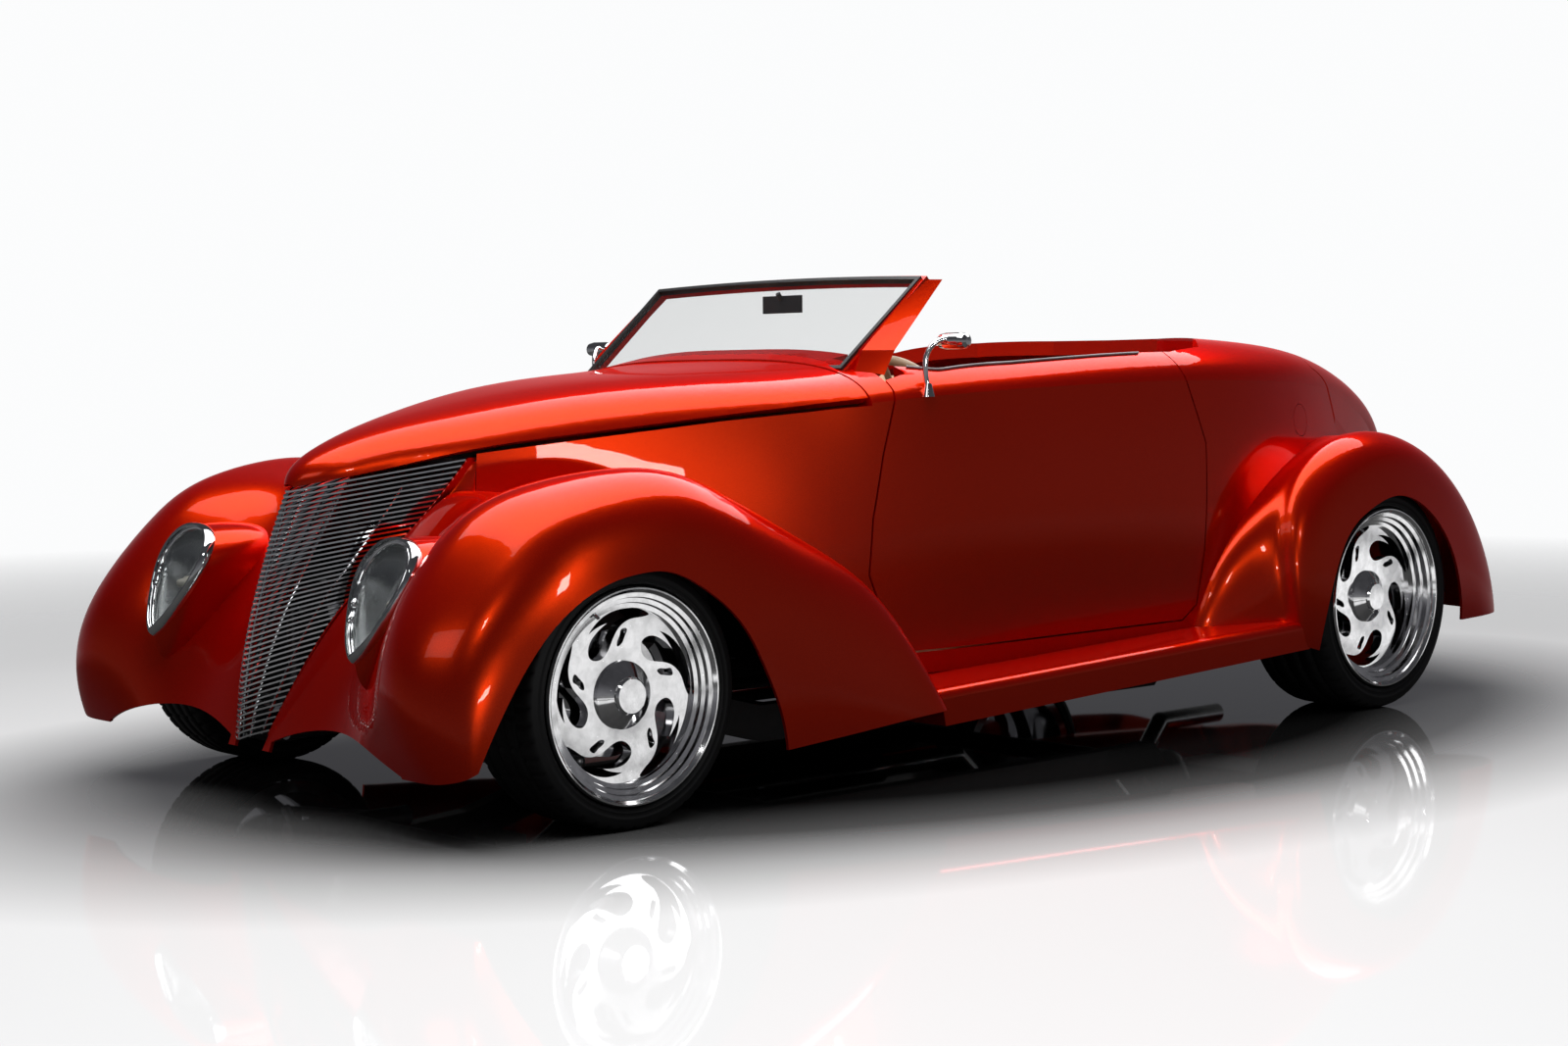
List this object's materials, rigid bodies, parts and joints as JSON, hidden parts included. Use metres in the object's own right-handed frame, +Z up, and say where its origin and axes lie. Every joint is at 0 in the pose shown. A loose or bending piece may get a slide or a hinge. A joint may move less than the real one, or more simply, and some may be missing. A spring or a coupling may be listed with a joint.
{
  "type": "street rod roadster",
  "caption": "Open two-seat street rod roadster with pointed bar grille, teardrop headlamps, swept fenders, running boards, raked windshield and opening hood, doors, deck lid and filler door.",
  "frame": {"origin": "centre of the plan outline, on the ground", "axes": "-Y is the front of the car, +X its left side, +Z up"},
  "size_m": [1.7844, 4.3378, 1.2653],
  "materials": {
    "candy_paint": "candy red-orange metallic clear coat",
    "tyre": "matte",
    "polished_alloy": "polished",
    "chrome": "polished",
    "glass": "clear",
    "black_trim": "satin",
    "leather": "tan, stitched",
    "tan_trim": "tan",
    "red_lens": "clear red",
    "cast": "painted",
    "steel": "satin",
    "plate": "painted, blank",
    "chassis_black": "satin black"
  },
  "bodies": {
    "body": {"cabin_mirror": "black_trim", "chassis": "chassis_black", "cowl": "candy_paint", "dashboard": "tan_trim", "engine": "cast", "engine_mounts": "steel", "exhaust": "chrome", "fender_front_left": "candy_paint", "fender_front_right": "candy_paint", "fender_rear_left": "candy_paint", "fender_rear_right": "candy_paint", "floor_pan": "chassis_black", "front_suspension": "steel", "fuel_tank": "steel", "grille_bars": "chrome", "grille_shell": "candy_paint", "headlamp_bezels": "chrome", "headlamp_buckets": "candy_paint", "headlamp_lenses": "glass", "headlamp_reflectors": "chrome", "lid_stops": "black_trim", "nose_sides": "candy_paint", "number_plate": "plate", "radiator": "chassis_black", "rear_axle": "steel", "rear_tub": "candy_paint", "running_boards": "candy_paint", "seat_back": "leather", "seat_cushion": "leather", "shifter": "black_trim", "steering_column": "steel", "tail_lamps": "red_lens", "wheel_houses": "chassis_black", "windshield_frame": "candy_paint", "windshield_gasket": "black_trim", "windshield_glass": "glass"},
    "knuckle_left": {"knuckle_left": "steel"},
    "knuckle_right": {"knuckle_right": "steel"},
    "wheel_front_left": {"rim_front_left": "polished_alloy", "tyre_front_left": "tyre"},
    "wheel_front_right": {"rim_front_right": "polished_alloy", "tyre_front_right": "tyre"},
    "wheel_rear_left": {"rim_rear_left": "polished_alloy", "tyre_rear_left": "tyre"},
    "wheel_rear_right": {"rim_rear_right": "polished_alloy", "tyre_rear_right": "tyre"},
    "steering_wheel": {"steering_wheel": "tan_trim"},
    "door_left": {"door_left": "candy_paint", "mirror_left": "chrome"},
    "door_right": {"door_right": "candy_paint", "mirror_right": "chrome"},
    "hood": {"hood": "candy_paint"},
    "deck_lid": {"deck_lid": "candy_paint"},
    "fuel_door": {"fuel_door": "candy_paint"}
  },
  "joints": [
    {"name": "steer_left", "type": "hinge", "parent": "body", "child": "knuckle_left", "pos_m": [0.622, -1.62, 0.297], "axis": [0, 0, 1], "range_deg": [-28, 28]},
    {"name": "steer_right", "type": "hinge", "parent": "body", "child": "knuckle_right", "pos_m": [-0.622, -1.62, 0.297], "axis": [0, 0, 1], "range_deg": [-28, 28]},
    {"name": "spin_front_left", "type": "hinge", "parent": "knuckle_left", "child": "wheel_front_left", "pos_m": [0.72, -1.62, 0.297], "axis": [1, 0, 0], "continuous": true},
    {"name": "spin_front_right", "type": "hinge", "parent": "knuckle_right", "child": "wheel_front_right", "pos_m": [-0.72, -1.62, 0.297], "axis": [1, 0, 0], "continuous": true},
    {"name": "spin_rear_left", "type": "hinge", "parent": "body", "child": "wheel_rear_left", "pos_m": [0.73, 1.225, 0.33], "axis": [1, 0, 0], "continuous": true},
    {"name": "spin_rear_right", "type": "hinge", "parent": "body", "child": "wheel_rear_right", "pos_m": [-0.73, 1.225, 0.33], "axis": [1, 0, 0], "continuous": true},
    {"name": "steering_wheel_turn", "type": "hinge", "parent": "body", "child": "steering_wheel", "pos_m": [0.35, -0.26863, 0.88], "axis": [0, 0.8829, 0.4695], "range_deg": [-392, 392]},
    {"name": "door_left_swing", "type": "hinge", "parent": "body", "child": "door_left", "pos_m": [0.651, -0.70249, 0.55], "axis": [0, 0, -1], "range_deg": [0, 65]},
    {"name": "door_right_swing", "type": "hinge", "parent": "body", "child": "door_right", "pos_m": [-0.651, -0.70249, 0.55], "axis": [0, 0, 1], "range_deg": [0, 65]},
    {"name": "hood_lift", "type": "hinge", "parent": "body", "child": "hood", "pos_m": [0, -0.69753, 1.056], "axis": [-1, 0, 0], "range_deg": [0, 50]},
    {"name": "deck_lid_lift", "type": "hinge", "parent": "body", "child": "deck_lid", "pos_m": [0, 1.27052, 1.088], "axis": [1, 0, 0], "range_deg": [0, 55]},
    {"name": "fuel_door_swing", "type": "hinge", "parent": "body", "child": "fuel_door", "pos_m": [0.658, 1.05, 0.856], "axis": [0, 0, -1], "range_deg": [0, 95]}
  ],
  "couplings": [
    {"joint": "steer_right", "follows": "steer_left", "ratio": 1},
    {"joint": "steering_wheel_turn", "follows": "steer_left", "ratio": 14}
  ]
}
